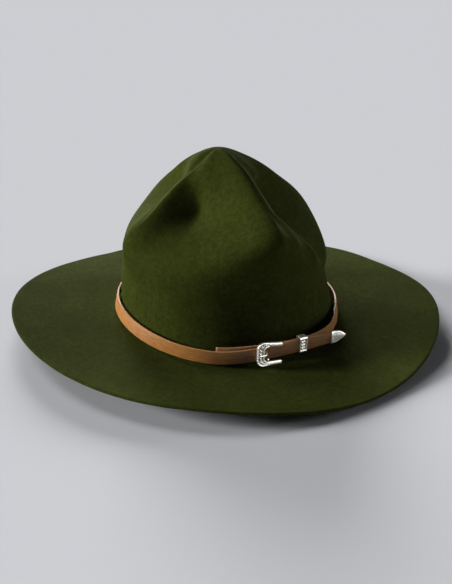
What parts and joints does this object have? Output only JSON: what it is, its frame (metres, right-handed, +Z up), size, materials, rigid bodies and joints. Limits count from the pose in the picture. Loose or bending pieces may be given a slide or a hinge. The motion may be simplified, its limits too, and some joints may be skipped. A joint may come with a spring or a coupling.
{
  "type": "campaign hat",
  "caption": "Olive felt campaign hat: crown with four dents pinched to a peak, wide softly waved brim, and a narrow tan leather band with a silver buckle, keeper and pointed tip.",
  "frame": {"origin": "under the middle of the head oval, on the surface that the brim rests on", "axes": "-Y the wearer's front, +X the wearer's left with the buckle, +Z up; +Y is the hat's length, front to back"},
  "size_m": [0.3597, 0.3724, 0.1515],
  "materials": {
    "olive_felt": "soft brushed wool felt, dark olive green",
    "tan_leather": "smooth tan leather, satin",
    "silver_metal": "polished and engraved, darkened in its hollows"
  },
  "bodies": {
    "root": {"felt_body": "olive_felt", "leather_strap": "tan_leather", "buckle_frame": "silver_metal", "buckle_prong": "silver_metal", "keeper_loop": "silver_metal", "strap_tip": "silver_metal"}
  },
  "joints": []
}
